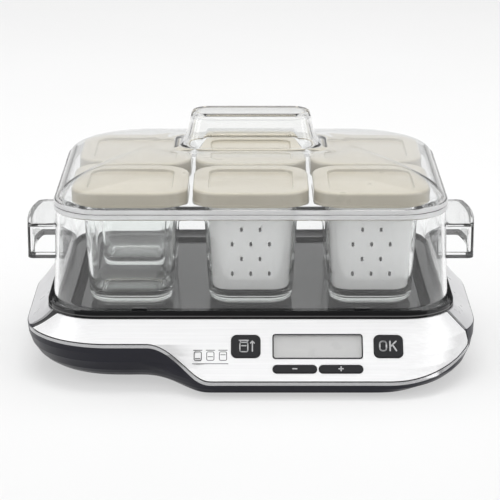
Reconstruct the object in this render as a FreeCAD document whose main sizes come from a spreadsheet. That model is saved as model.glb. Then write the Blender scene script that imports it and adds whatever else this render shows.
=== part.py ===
"""Six-jar electric yogurt maker: base with heating tray and control panel, clear chamber, domed cover,
glass jars with lids and two strainers. Millimetres, +Z up, origin under the middle of the object."""
import FreeCAD, Part
import math
import os

import Sketcher
from FreeCAD import Placement, Rotation, Vector

doc = FreeCAD.newDocument("yogurt_maker")
sheet = doc.addObject("Spreadsheet::Sheet", "Sizes")

SIZES = (
    # the chamber stands a little behind the middle, because the control panel reaches forward
    ("chamber_y", 5.0),
    # base outline: the rim round the tray, the widest line (brim), the panel's foot and the flat sole
    ("rim_z", 43.0), ("rim_half", 132.5), ("rim_reach", 96.5), ("rim_corner", 34.5),
    ("brim_z", 30.0), ("brim_half", 147.0), ("brim_front", 108.1), ("brim_rear", 108.0),
    ("brim_front_corner", 56.0), ("brim_rear_corner", 95.0),
    ("panel_foot_z", 11.0), ("panel_foot_front", 125.0),
    ("sole_z", 3.0), ("sole_half", 124.0), ("sole_front", 88.0), ("sole_rear", 92.0),
    ("sole_front_corner", 44.0), ("sole_rear_corner", 72.0), ("sole_panel_front", 122.5),
    ("seam_lift", 0.4), ("step_left", -66.0), ("step_right", -26.0), ("step_drop", 19.0),
    ("rise_start", 90.0), ("rise_height", 18.0),
    # skins
    ("housing_wall", 2.4), ("fascia_thick", 1.2), ("band_thick", 1.4), ("carrier_thick", 1.6),
    ("trim_gap", 0.6), ("trim_height", 2.7), ("trim_proud", 0.4), ("skin_gap", 0.15),
    ("mitre_inner_x", 127.0), ("mitre_inner_y", 80.0), ("mitre_outer_x", 144.5),
    ("mitre_left_y", 71.0), ("mitre_right_y", 80.0), ("mitre_left_gap", 5.0), ("mitre_right_gap", 2.6),
    # heating tray
    ("tray_half", 132.0), ("tray_reach", 96.0), ("tray_corner", 34.0), ("tray_top", 48.0),
    ("tray_skirt", 43.2), ("rim_width", 2.9), ("shelf_z", 45.5), ("pan_half", 117.0), ("pan_reach", 81.0),
    ("pan_corner", 23.0), ("pan_floor", 43.0), ("pan_bottom", 41.0), ("pan_wall", 2.2),
    ("tab_x", 71.5), ("tab_long", 10.0), ("tab_wide", 3.0), ("tab_high", 2.6), ("tab_y", -86.5),
    # clear chamber wall and its side handles
    ("rest_gap", 0.3), ("clear_wall", 2.4),
    ("wall_foot_half", 128.5), ("wall_foot_reach", 92.4), ("wall_foot_corner", 33.0),
    ("wall_top_half", 125.8), ("wall_top_reach", 89.7), ("wall_top_corner", 31.0),
    ("wall_foot_z", 45.8), ("wall_top_z", 110.3), ("lip_proud", 1.3), ("lip_high", 3.0),
    ("ear_low", 63.5), ("ear_high", 87.5), ("ear_front", 31.0), ("ear_front_x", 147.6),
    ("ear_mid_x", 150.0), ("ear_rear_x", 145.4), ("ear_inner_x", 120.0), ("ear_root_x", 128.3),
    # cover
    ("cover_z", 110.6), ("cover_lip", 3.2), ("dome_z", 112.5), ("dome_high", 24.0), ("dome_crown", 18.0),
    ("knob_top", 157.6), ("knob_wall", 2.4), ("knob_round", 2.0),
    ("neck_half", 42.0), ("neck_reach", 15.5), ("neck_low", 131.5), ("neck_high", 4.2),
    # jars
    ("jar_pitch", 78.0), ("jar_foot", 54.5), ("jar_mouth", 62.0), ("jar_foot_corner", 15.0),
    ("jar_foot_round", 5.0),
    ("jar_mouth_corner", 16.5), ("jar_high", 69.9), ("jar_wall", 2.4), ("jar_floor", 4.0),
    ("jar_z", 43.3),
    ("lid_size", 75.6), ("lid_corner", 19.0), ("lid_low", 109.5), ("lid_top", 120.2), ("lid_wall", 2.0),
    ("lid_round", 1.8), ("lid_border", 10.5), ("lid_dish", 2.0), ("lid_grip", 68.0), ("lid_grip_wall", 2.0),
    ("lid_grip_long", 4.5), ("lid_roof", 4.2),
    ("strainer_gap", 0.7), ("strainer_wall", 1.4), ("strainer_foot_z", 53.0), ("strainer_rim", 60.6),
    ("strainer_rim_thick", 1.0), ("hole_wide", 1.8), ("hole_high", 3.2), ("hole_pitch", 12.0),
    ("hole_row", 10.1), ("hole_low", 64.0),
    # controls, measured down the panel from its top edge
    ("key_wide", 18.2), ("key_high", 15.4), ("key_corner", 3.4), ("key_down", 18.6),
    ("program_x", -3.2), ("enter_x", 87.3), ("less_x", 27.8), ("more_x", 57.0),
    ("bar_wide", 27.6), ("bar_high", 5.4), ("bar_corner", 2.5), ("bar_down", 34.1),
    ("key_proud", 0.8), ("key_clear", 0.35), ("flange_extra", 1.4), ("bar_flange_side", 0.5),
    ("flange_thick", 1.2), ("stem_size", 4.0), ("stem_long", 1.2), ("switch_size", 6.0),
    ("switch_high", 2.4),
    ("window_x", 42.4), ("window_wide", 57.3), ("window_high", 17.0), ("window_corner", 2.0),
    ("window_thick", 1.4), ("board_depth", 8.0), ("board_thick", 1.6), ("board_x", 42.0),
    ("board_wide", 116.0), ("board_high", 34.0), ("board_down", 20.0),
    # underside
    ("hatch_wide", 180.0), ("hatch_deep", 120.0), ("hatch_corner", 12.0), ("hatch_thick", 1.2),
    ("hatch_ledge", 10.0), ("hatch_boss", 1.2), ("post_radius", 4.5), ("post_high", 12.0),
    ("floor_thick", 2.4),
    ("foot_x", 101.0), ("foot_y", 66.0), ("foot_radius", 8.0), ("screw_radius", 1.5),
    ("screw_head", 3.0), ("screw_x", 84.0), ("screw_y", 54.0),
    # heating and power
    ("spreader_wide", 196.0), ("spreader_deep", 126.0), ("spreader_thick", 1.8), ("spreader_corner", 16.0),
    ("element_radius", 3.1), ("element_wide", 168.0), ("element_deep", 92.0), ("element_bend", 24.0),
    ("spacer_high", 3.0), ("gland_x", 40.0), ("gland_z", 19.0), ("gland_radius", 6.5), ("gland_collar", 9.0),
    ("cord_radius", 3.6), ("gland_end", 120.5),
)
for row, (alias, size) in enumerate(SIZES, start=1):
    sheet.set("A%d" % row, alias)
    sheet.set("B%d" % row, str(size))
    sheet.setAlias("B%d" % row, alias)
doc.recompute()


def size(alias):
    """The value of one cell of the sheet."""
    return float(sheet.get(alias))


# ---------------------------------------------------------------- sketch and feature helpers

def origin_plane(body, role):
    """The body's own origin plane, such as XY_Plane."""
    return next(item for item in body.Origin.OriginFeatures if item.Role == role)


def new_body(label, x="0", y="0", z="0"):
    """A body whose place follows three expressions."""
    body = doc.addObject("PartDesign::Body", label)
    body.Label = label
    for axis, text in (("x", x), ("y", y), ("z", z)):
        if text != "0":
            body.setExpression("Placement.Base." + axis, text)
    return body


def new_sketch(body, name, height="0", role="XY_Plane"):
    """An empty sketch on an origin plane, raised by an expression."""
    sketch = body.newObject("Sketcher::SketchObject", name)
    sketch.AttachmentSupport = [(origin_plane(body, role), "")]
    sketch.MapMode = "FlatFace"
    if height != "0":
        sketch.setExpression("AttachmentOffset.Base.z", height)
    return sketch


def draw_rounded(sketch, wide, deep, corner):
    """A centred rectangle with round corners; its three sizes are expressions."""
    a, b, r = 20.0, 15.0, 4.0
    quarter = math.pi / 2
    up = Vector(0, 0, 1)
    lines = (((r - a, -b), (a - r, -b)), ((a, r - b), (a, b - r)),
             ((a - r, b), (r - a, b)), ((-a, b - r), (-a, r - b)))
    centres = ((a - r, r - b), (a - r, b - r), (r - a, b - r), (r - a, r - b))
    for index in range(4):
        (x1, y1), (x2, y2) = lines[index]
        sketch.addGeometry(Part.LineSegment(Vector(x1, y1, 0), Vector(x2, y2, 0)), False)
        circle = Part.Circle(Vector(centres[index][0], centres[index][1], 0), up, r)
        start = (index - 1) * quarter
        sketch.addGeometry(Part.ArcOfCircle(circle, start, start + quarter), False)
    for index in range(8):
        sketch.addConstraint(Sketcher.Constraint("Tangent", index, 2, (index + 1) % 8, 1))
    for kind, index in (("Horizontal", 0), ("Vertical", 2), ("Horizontal", 4), ("Vertical", 6)):
        sketch.addConstraint(Sketcher.Constraint(kind, index))
    for index in (3, 5, 7):
        sketch.addConstraint(Sketcher.Constraint("Equal", 1, index))
    sketch.addConstraint(Sketcher.Constraint("Symmetric", 0, 1, 4, 1, -1, 1))
    named = (
        ("corner", Sketcher.Constraint("Radius", 1, r), corner),
        ("wide", Sketcher.Constraint("DistanceX", 6, 1, 2, 1, 2 * a), wide),
        ("deep", Sketcher.Constraint("DistanceY", 0, 1, 4, 1, 2 * b), deep),
    )
    for name, constraint, text in named:
        index = sketch.addConstraint(constraint)
        sketch.renameConstraint(index, name)
        sketch.setExpression("Constraints." + name, text)


def draw_circle(sketch, radius, x="0", y="0"):
    """A circle whose radius and centre are expressions."""
    index = sketch.addGeometry(Part.Circle(Vector(1, 1, 0), Vector(0, 0, 1), 1), False)
    named = (
        ("radius%d" % index, Sketcher.Constraint("Radius", index, 1.0), radius),
        ("across%d" % index, Sketcher.Constraint("DistanceX", -1, 1, index, 3, 1.0), x),
        ("along%d" % index, Sketcher.Constraint("DistanceY", -1, 1, index, 3, 1.0), y),
    )
    for name, constraint, text in named:
        number = sketch.addConstraint(constraint)
        sketch.renameConstraint(number, name)
        sketch.setExpression("Constraints." + name, text)


def rounded(body, name, height, wide, deep, corner):
    """A rounded rectangle sketch at a height."""
    sketch = new_sketch(body, name, height)
    draw_rounded(sketch, wide, deep, corner)
    return sketch


def pad(body, sketch, name, length):
    feature = body.newObject("PartDesign::Pad", name)
    feature.Profile = sketch
    feature.setExpression("Length", length)
    return feature


def pocket(body, sketch, name, length, reverse=False):
    """A cut of the given length, downwards unless reversed."""
    feature = body.newObject("PartDesign::Pocket", name)
    feature.Profile = sketch
    feature.Reversed = reverse
    feature.setExpression("Length", length)
    return feature


def loft(body, kind, name, sketches, ruled):
    """An AdditiveLoft or SubtractiveLoft through sketches."""
    feature = body.newObject("PartDesign::" + kind, name)
    feature.Profile = sketches[0]
    feature.Sections = sketches[1:]
    feature.Ruled = ruled
    return feature


def round_edges(body, base, name, radius, chosen):
    """A fillet on the edges of a feature that a test picks out."""
    doc.recompute()
    edges = ["Edge%d" % (i + 1) for i, edge in enumerate(base.Shape.Edges) if chosen(edge)]
    feature = body.newObject("PartDesign::Fillet", name)
    feature.Base = (base, edges)
    feature.setExpression("Radius", radius)
    return feature


def edge_at(height):
    """Picks the edges that lie wholly at one height."""
    def test(edge):
        box = edge.BoundBox
        return abs(box.ZMin - height) < 0.01 and abs(box.ZMax - height) < 0.01
    return test


def add_shape(label, shape):
    """A plain feature for a shape worked out from the sheet."""
    feature = doc.addObject("Part::Feature", label)
    feature.Label = label
    feature.Shape = shape
    feature.Placement = Placement(Vector(0, size("chamber_y"), 0), Rotation())
    return feature


# ---------------------------------------------------------------- base skins
OUTLINE_STEPS = 96


def smooth(x, low, high):
    """0 below low, 1 above high and a smooth S between."""
    t = min(1.0, max(0.0, (x - low) / (high - low)))
    return t * t * (3 - 2 * t)


def corner_reach(half, reach, radius, angle):
    """Distance from the middle to a rounded rectangle in one direction."""
    across, along = abs(math.cos(angle)), abs(math.sin(angle))
    if across * (reach - radius) >= half * along:
        return half / across
    if along * (half - radius) >= reach * across:
        return reach / along
    inward = (half - radius) * across + (reach - radius) * along
    spare = (half - radius) ** 2 + (reach - radius) ** 2 - radius ** 2
    return inward + math.sqrt(inward ** 2 - spare)


def outline(level, inset):
    """Closed smooth wire of the base at one level, moved inwards by inset."""
    height, half, front, rear, front_corner, rear_corner, step = level
    points = []
    for index in range(OUTLINE_STEPS):
        angle = 2 * math.pi * index / OUTLINE_STEPS
        behind = math.sin(angle) >= 0
        reach, corner = (rear, rear_corner) if behind else (front, front_corner)
        away = corner_reach(half - inset, reach - inset, corner - inset, angle)
        x, y = away * math.cos(angle), away * math.sin(angle)
        if not behind:
            y *= 1 + step / reach * smooth(x, size("step_left"), size("step_right"))
        points.append(Vector(x, y, height))
    curve = Part.BSplineCurve()
    curve.interpolate(Points=points, PeriodicFlag=True)
    return Part.Wire([curve.toShape()])


def base_levels():
    """Outlines from the tray rim down to the sole: a straight skirt, then a round belly."""
    rim = (size("rim_z"), size("rim_half"), size("rim_reach"), size("rim_reach"),
           size("rim_corner"), size("rim_corner"), 0.0)
    levels = [rim]
    parts = ("half", "front", "rear", "front_corner", "rear_corner")
    brim = [size("brim_" + name) for name in parts]
    sole = [size("sole_" + name) for name in parts]
    drop = size("brim_z") - size("sole_z")
    foot_share = (size("brim_z") - size("panel_foot_z")) / drop
    shares = [foot_share * i / 3 for i in range(4)]
    shares += [foot_share + (1 - foot_share) * i / 3 for i in (1, 2, 3)]
    for share in shares:
        bulge = math.sqrt(max(0.0, 1 - share ** 2))
        sizes = [low + (high - low) * bulge for low, high in zip(sole, brim)]
        if share <= foot_share:
            reach = size("panel_foot_front") - size("brim_front")
            front = size("brim_front") + reach * share / foot_share
        else:
            turn = (share - foot_share) / (1 - foot_share)
            tuck = size("panel_foot_front") - size("sole_panel_front")
            front = size("panel_foot_front") - tuck * turn ** 2
        levels.append((size("brim_z") - drop * share, *sizes, front - sizes[1]))
    return levels


def envelope(inset, levels):
    """The closed outer form of the base, moved inwards by inset."""
    return Part.makeLoft([outline(level, inset) for level in levels], True, True)


def split_height(x):
    """Height of the panel's lower edge: high on the left, an S down to the middle, rising at the right."""
    fall = size("step_drop") * smooth(x, size("step_left"), size("step_right"))
    rise = 0.0
    if x > size("rise_start"):
        share = min(1.0, (x - size("rise_start")) / (size("brim_half") - size("rise_start")))
        rise = size("rise_height") * (1 - math.sqrt(1 - share ** 2))
    return size("brim_z") + size("seam_lift") - fall + rise


def above_split(lowered):
    """A block over the panel's lower edge, which is moved down by lowered, in front of the middle."""
    side, top, front = 170.0, 80.0, 170.0
    left, right = -size("brim_half"), size("brim_half")
    count = 60
    xs = [left + (right - left) * i / count for i in range(count + 1)]
    curve = Part.BSplineCurve()
    curve.interpolate([Vector(x, 0, split_height(x) - lowered) for x in xs])
    start = Vector(-side, 0, split_height(left) - lowered)
    end = Vector(side, 0, split_height(right) - lowered)
    corners = (end, Vector(side, 0, top), Vector(-side, 0, top), start)
    edges = [Part.makeLine(start, curve.StartPoint), curve.toShape(), Part.makeLine(curve.EndPoint, end)]
    edges += [Part.makeLine(a, b) for a, b in zip(corners, corners[1:])]
    return Part.Face(Part.Wire(edges)).extrude(Vector(0, -front, 0))


def mitre_points(side):
    """Inner and outer end of one mitre seam; side is -1 for left and 1 for right."""
    outer = size("mitre_left_y") if side < 0 else size("mitre_right_y")
    return (Vector(side * size("mitre_inner_x"), -size("mitre_inner_y"), 0),
            Vector(side * size("mitre_outer_x"), -outer, 0))


def front_zone():
    """Block in front of the two mitre seams."""
    far, low, high = 2.5, -10.0, 100.0
    left_in, left_out = mitre_points(-1)
    right_in, right_out = mitre_points(1)
    left_far = left_in + (left_out - left_in) * far
    right_far = right_in + (right_out - right_in) * far
    corners = [left_far, left_in, right_in, right_far]
    corners += [Vector(right_far.x, -200, 0), Vector(left_far.x, -200, 0)]
    for corner in corners:
        corner.z = low
    return Part.Face(Part.makePolygon(corners + corners[:1])).extrude(Vector(0, 0, high - low))


def mitre_slab(side):
    """The gap cut along one mitre seam."""
    inner, outer = mitre_points(side)
    gap = size("mitre_left_gap") if side < 0 else size("mitre_right_gap")
    along = (outer - inner).normalize()
    across = Vector(-along.y, along.x, 0) * (gap / 2)
    start, end = inner - along * 6, outer + along * 20
    corners = [start + across, end + across, end - across, start - across]
    return Part.Face(Part.makePolygon(corners + corners[:1])).extrude(Vector(0, 0, 100))


def rounded_prism(wide, deep, corner, low, high, x=0.0, y=0.0):
    """A plain upright block with round corners."""
    box = Part.makeBox(wide, deep, high - low, Vector(x - wide / 2, y - deep / 2, low))
    return box.makeFillet(corner, [e for e in box.Edges if abs(e.tangentAt(e.FirstParameter).z) > 0.9])


# the panel's own frame: origin on its top edge, local z outwards, local y up the slope
PANEL_RUN = size("panel_foot_front") - size("rim_reach")
PANEL_FALL = size("rim_z") - size("panel_foot_z")
PANEL_TILT = math.degrees(math.atan2(PANEL_RUN, PANEL_FALL))
PANEL_ROTATION = Rotation(Vector(1, 0, 0), 90 - PANEL_TILT)
PANEL_TOP = Vector(0, -size("rim_reach"), size("rim_z"))


def on_panel(shape, x, down, out=0.0):
    """Moves a shape made about the local origin to a place on the panel, in the chamber's frame."""
    base = PANEL_TOP + PANEL_ROTATION.multVec(Vector(x, -down, out))
    shape.Placement = Placement(base, PANEL_ROTATION).multiply(shape.Placement)
    return shape


def panel_block(wide, high, corner, x, down, low, top):
    return on_panel(rounded_prism(wide, high, corner, low, top), x, down)


def slab_over(height):
    """Everything over one height."""
    return Part.makeBox(400, 400, 100, Vector(-200, -200, height))


def make_panel_skins(levels, outer):
    """The brushed panel with its openings, and the bright strip that follows its lower edge."""
    front = front_zone()
    slabs = mitre_slab(-1).fuse(mitre_slab(1))
    under = envelope(size("fascia_thick"), levels)
    upper = above_split(0.0)
    fascia = outer.common(front.common(upper).cut(slabs)).cut(under)
    clear = size("key_clear")
    for wide, high, corner, x, down in key_places().values():
        fascia = fascia.cut(panel_block(wide + 2 * clear, high + 2 * clear, corner + clear, x, down, -6, 6))
    wide, high, corner = (size("window_" + name) for name in ("wide", "high", "corner"))
    window = panel_block(wide + 0.2, high + 0.2, corner + 0.1, size("window_x"), size("key_down"), -6, 6)
    fascia = fascia.cut(window)
    add_shape("control_fascia", fascia)
    strip_zone = front.common(above_split(size("trim_height")).cut(above_split(size("trim_gap"))))
    trim = envelope(-size("trim_proud"), levels).common(strip_zone).cut(under)
    add_shape("trim_strip", trim)


def make_ring(label, outer_inset, thick, tool):
    """A skirt round the tray between the rim and the brim, less a tool."""
    levels = base_levels()[:2]
    ring = envelope(outer_inset, levels).cut(envelope(outer_inset + thick, levels))
    ring = ring.common(slab_over(size("brim_z") + size("seam_lift"))).cut(tool)
    add_shape(label, ring)


def make_housing(levels, outer):
    """Open-topped casing with a floor, a hatch opening, screw posts and the cord inlet's hole."""
    sole, thick = size("sole_z"), size("floor_thick")
    split = above_split(size("trim_height") + 0.05)
    front = front_zone()
    split_top = size("brim_z") + size("seam_lift")
    cavity = envelope(size("housing_wall"), levels).common(slab_over(sole + thick))
    tool = front.common(split).fuse(slab_over(split_top).cut(front))
    ledge = size("hatch_ledge")
    wide, deep, corner = size("hatch_wide"), size("hatch_deep"), size("hatch_corner")
    recess = rounded_prism(wide + 0.4, deep + 0.4, corner, sole - 1, sole + size("hatch_thick") + 0.1)
    opening = rounded_prism(wide - 2 * ledge, deep - 2 * ledge, corner - ledge, sole - 1, sole + 8)
    inlet = Vector(size("gland_x"), size("sole_rear") - 20, size("gland_z"))
    bore = Part.makeCylinder(size("gland_radius") + 0.1, 60, inlet, Vector(0, 1, 0))
    housing = outer.cut(tool).cut(cavity).cut(recess.fuse(opening)).cut(bore)
    for x, y in corners_of("screw_x", "screw_y"):
        foot = Vector(x, y, sole + size("hatch_thick") + 0.1)
        housing = housing.fuse(Part.makeCylinder(size("post_radius"), size("post_high"), foot))
        housing = housing.cut(Part.makeCylinder(size("screw_radius") + 0.02, 10.0, Vector(x, y, sole)))
    add_shape("base_housing", housing)


def make_base_skins():
    """Housing, panel, trim, band and their carrier, all cut from insets of one form."""
    levels = base_levels()
    outer = envelope(0.0, levels)
    make_panel_skins(levels, outer)
    make_housing(levels, outer)
    slabs = mitre_slab(-1).fuse(mitre_slab(1))
    make_ring("rear_band", 0.0, size("band_thick"), front_zone().fuse(slabs))
    board_hole = panel_block(size("board_wide") + 6, 36.0, 3.0, size("board_x"), 20.5, -20, 3)
    make_ring("band_carrier", size("band_thick") + size("skin_gap"), size("carrier_thick"), board_hole)


def corners_of(x_alias, y_alias):
    """Four symmetrical places."""
    return [(sx * size(x_alias), sy * size(y_alias)) for sx in (-1, 1) for sy in (-1, 1)]


def key_places():
    """Each key's width, height, corner, place across and place down the panel."""
    key = (size("key_wide"), size("key_high"), size("key_corner"))
    bar = (size("bar_wide"), size("bar_high"), size("bar_corner"))
    return {
        "button_program": (*key, size("program_x"), size("key_down")),
        "button_ok": (*key, size("enter_x"), size("key_down")),
        "button_minus": (*bar, size("less_x"), size("bar_down")),
        "button_plus": (*bar, size("more_x"), size("bar_down")),
    }


make_base_skins()
print("panel tilt from the upright: %.2f degrees" % PANEL_TILT)


# ---------------------------------------------------------------- controls
def panel_placement(x, down, out=0.0):
    base = PANEL_TOP + PANEL_ROTATION.multVec(Vector(x, -down, out)) + Vector(0, size("chamber_y"), 0)
    return Placement(base, PANEL_ROTATION)


def make_button(label, wide, high, corner, flange_side, x_alias, down_alias):
    """Key cap with a hidden flange and a stem over its switch, in the panel's own frame."""
    body = new_body(label)
    body.Placement = panel_placement(size(x_alias), size(down_alias))
    under = "-Sizes.fascia_thick - Sizes.key_clear"
    flange = rounded(body, label + "_flange_outline", under + " - Sizes.flange_thick",
                     wide + " + 2 * " + flange_side, high + " + 2 * Sizes.flange_extra", corner)
    pad(body, flange, label + "_flange", "Sizes.flange_thick")
    cap = rounded(body, label + "_cap_outline", under, wide, high, corner)
    top = pad(body, cap, label + "_cap", "Sizes.fascia_thick + Sizes.key_clear + Sizes.key_proud")
    round_edges(body, top, label + "_edge", "Sizes.key_proud * 0.6", edge_at(size("key_proud")))
    stem = rounded(body, label + "_stem_outline", under + " - Sizes.flange_thick",
                   "Sizes.stem_size", "Sizes.stem_size", "Sizes.stem_size / 5")
    column = pad(body, stem, label + "_stem", "Sizes.stem_long")
    column.Reversed = True
    return body


KEY = ("Sizes.key_wide", "Sizes.key_high", "Sizes.key_corner", "Sizes.flange_extra")
BAR = ("Sizes.bar_wide", "Sizes.bar_high", "Sizes.bar_corner", "Sizes.bar_flange_side")
make_button("button_program", *KEY, "program_x", "key_down")
make_button("button_ok", *KEY, "enter_x", "key_down")
make_button("button_minus", *BAR, "less_x", "bar_down")
make_button("button_plus", *BAR, "more_x", "bar_down")


def make_panel_plate(label, wide, high, corner, low, thick, x_alias, down_alias):
    """A flat plate parallel to the panel; low is its lower face below the panel."""
    body = new_body(label)
    body.Placement = panel_placement(size(x_alias), size(down_alias))
    pad(body, rounded(body, label + "_outline", low, wide, high, corner), label + "_plate", thick)
    return body


make_panel_plate("display_lens", "Sizes.window_wide", "Sizes.window_high", "Sizes.window_corner",
                 "0.3 - Sizes.window_thick", "Sizes.window_thick", "window_x", "key_down")
make_panel_plate("display_panel", "Sizes.window_wide + 3", "Sizes.window_high + 2", "1.0",
                 "-Sizes.window_thick - 2.2", "2.2", "window_x", "key_down")
make_panel_plate("control_board", "Sizes.board_wide", "Sizes.board_high", "2.0",
                 "-Sizes.board_depth - Sizes.board_thick", "Sizes.board_thick", "board_x", "board_down")


def make_switches():
    """One small push switch under each key."""
    parts = []
    for wide, high, corner, x, down in key_places().values():
        body = panel_block(size("switch_size"), size("switch_size") * 0.8, 0.4, x, down,
                           -size("board_depth"), -size("board_depth") + size("switch_high"))
        parts.append(body)
    add_shape("button_switches", Part.makeCompound(parts))


make_switches()


# ---------------------------------------------------------------- heating tray
def make_tray():
    body = new_body("heating_tray", y="Sizes.chamber_y")
    pan = rounded(body, "pan_outline", "Sizes.pan_bottom", "2 * (Sizes.pan_half + Sizes.pan_wall)",
                  "2 * (Sizes.pan_reach + Sizes.pan_wall)", "Sizes.pan_corner + Sizes.pan_wall")
    pad(body, pan, "pan", "Sizes.tray_skirt - Sizes.pan_bottom + 0.5")
    rim = rounded(body, "rim_outline", "Sizes.tray_skirt", "2 * Sizes.tray_half", "2 * Sizes.tray_reach",
                  "Sizes.tray_corner")
    plate = pad(body, rim, "rim", "Sizes.tray_top - Sizes.tray_skirt")
    round_edges(body, plate, "rim_edge", "1.3", edge_at(size("tray_top")))
    shelf = rounded(body, "shelf_outline", "Sizes.tray_top", "2 * (Sizes.tray_half - Sizes.rim_width)",
                    "2 * (Sizes.tray_reach - Sizes.rim_width)", "Sizes.tray_corner - Sizes.rim_width")
    pocket(body, shelf, "shelf", "Sizes.tray_top - Sizes.shelf_z")
    floor = rounded(body, "floor_outline", "Sizes.shelf_z", "2 * Sizes.pan_half", "2 * Sizes.pan_reach",
                    "Sizes.pan_corner")
    pocket(body, floor, "floor", "Sizes.shelf_z - Sizes.pan_floor")
    for side in (-1, 1):
        name = "tab_left" if side < 0 else "tab_right"
        sketch = new_sketch(body, name + "_outline", "Sizes.shelf_z - 0.1")
        half_long, half_wide = size("tab_long") / 2, size("tab_wide") / 2
        x, y = side * size("tab_x"), size("tab_y")
        turns = ((-1, -1), (1, -1), (1, 1), (-1, 1))
        spots = [Vector(x + sx * half_long, y + sy * half_wide, 0) for sx, sy in turns]
        for a, b in zip(spots, spots[1:] + spots[:1]):
            sketch.addGeometry(Part.LineSegment(a, b), False)
        pad(body, sketch, name, "Sizes.tab_high + 0.1")


make_tray()


# ---------------------------------------------------------------- clear chamber wall
def ear_outline(body, name, height, side, inset):
    """Closed D of one side handle, moved inwards by inset."""
    sketch = new_sketch(body, name, height)
    front = size("ear_front") - inset
    root = size("ear_inner_x") if inset == 0 else size("ear_root_x")
    start = Vector(side * (size("ear_front_x") - inset), -front, 0)
    middle = Vector(side * (size("ear_mid_x") - inset), 0, 0)
    end = Vector(side * (size("ear_rear_x") - inset), front, 0)
    sketch.addGeometry(Part.Arc(start, middle, end), False)
    corners = (end, Vector(side * root, front, 0), Vector(side * root, -front, 0), start)
    for a, b in zip(corners, corners[1:]):
        sketch.addGeometry(Part.LineSegment(a, b), False)
    return sketch


def make_chamber_wall():
    body = new_body("chamber_wall", y="Sizes.chamber_y")
    lean = "-atan((Sizes.wall_foot_half - Sizes.wall_top_half) / (Sizes.wall_top_z - Sizes.wall_foot_z))"
    foot = rounded(body, "wall_foot", "Sizes.wall_foot_z", "2 * Sizes.wall_foot_half",
                   "2 * Sizes.wall_foot_reach", "Sizes.wall_foot_corner")
    outside = pad(body, foot, "wall_outside", "Sizes.wall_top_z - Sizes.wall_foot_z")
    outside.setExpression("TaperAngle", lean)
    lip = rounded(body, "lip_outline", "Sizes.wall_top_z - Sizes.lip_high",
                  "2 * (Sizes.wall_top_half + Sizes.lip_proud)", "2 * (Sizes.wall_top_reach + Sizes.lip_proud)",
                  "Sizes.wall_top_corner + Sizes.lip_proud")
    pad(body, lip, "lip", "Sizes.lip_high")
    for side in (-1, 1):
        name = "ear_left" if side < 0 else "ear_right"
        sketch = ear_outline(body, name + "_outline", "Sizes.ear_low", side, 0)
        ear = pad(body, sketch, name, "Sizes.ear_high - Sizes.ear_low")
        doc.recompute()
        outer_x = size("ear_mid_x") - 6

        def rim_edge(edge, side=side):
            box = edge.BoundBox
            flat = abs(box.ZMin - size("ear_high")) < 0.01 and abs(box.ZMax - size("ear_high")) < 0.01
            return flat and max(side * box.XMin, side * box.XMax) > outer_x
        round_edges(body, ear, name + "_edge", "1.2", rim_edge)
    inner_foot = rounded(body, "inner_foot", "Sizes.wall_foot_z",
                         "2 * (Sizes.wall_foot_half - Sizes.clear_wall)",
                         "2 * (Sizes.wall_foot_reach - Sizes.clear_wall)",
                         "Sizes.wall_foot_corner - Sizes.clear_wall")
    hollow = pocket(body, inner_foot, "wall_inside", "Sizes.wall_top_z - Sizes.wall_foot_z", reverse=True)
    hollow.setExpression("TaperAngle", lean)
    for side in (-1, 1):
        name = "ear_left_hollow" if side < 0 else "ear_right_hollow"
        sketch = ear_outline(body, name + "_outline", "Sizes.ear_low", side, size("clear_wall"))
        pocket(body, sketch, name, "Sizes.ear_high - Sizes.ear_low - Sizes.clear_wall", reverse=True)
    return body


make_chamber_wall()


# ---------------------------------------------------------------- cover with its hollow knob
# knob sections: height under the knob's top, half width and half depth
KNOB_SECTIONS = ((23.0, 45.5, 19.0), (20.5, 43.6, 17.4), (16.5, 42.2, 16.2), (8.5, 40.6, 14.8),
                 (0.0, 39.2, 13.0))
# dome sections: degrees up a quarter ellipse, from the upright side towards the middle
DOME_TURNS = (0, 12, 24, 36, 48, 60, 72)


def knob_loft(body, name, inset, lowered):
    sketches = []
    for index, (below, half, reach) in enumerate(KNOB_SECTIONS):
        height = "Sizes.knob_top - %g" % (below + (lowered if below == 0 else 0))
        corner = min(reach - 1.5, 10.0) - inset
        sketches.append(rounded(body, "%s_%d" % (name, index), height, "%g" % (2 * (half - inset)),
                                "%g" % (2 * (reach - inset)), "%g" % corner))
    return loft(body, "AdditiveLoft", name, sketches, False)


def dome_loft(body, name, wall, low):
    """The dome over a straight skirt that starts at low; wall moves the form inwards."""
    reach = size("wall_top_reach") - wall
    half = size("wall_top_half") - wall
    corner = size("wall_top_corner") - wall
    skirt = rounded(body, name + "_skirt", low, "%g" % (2 * half), "%g" % (2 * reach), "%g" % corner)
    pad(body, skirt, name + "_side", "Sizes.dome_z - " + low)
    sketches = []
    for index, turn in enumerate(DOME_TURNS):
        inset = reach * (1 - math.cos(math.radians(turn)))
        round_now = corner + (size("dome_crown") - wall - corner) * inset / reach
        height = "Sizes.dome_z + (Sizes.dome_high - %g) * sin(%d deg)" % (wall, turn)
        sketches.append(rounded(body, "%s_%d" % (name, index), height, "%g" % (2 * (half - inset)),
                                "%g" % (2 * (reach - inset)), "%g" % round_now))
    loft(body, "AdditiveLoft", name, sketches, False)


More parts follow.
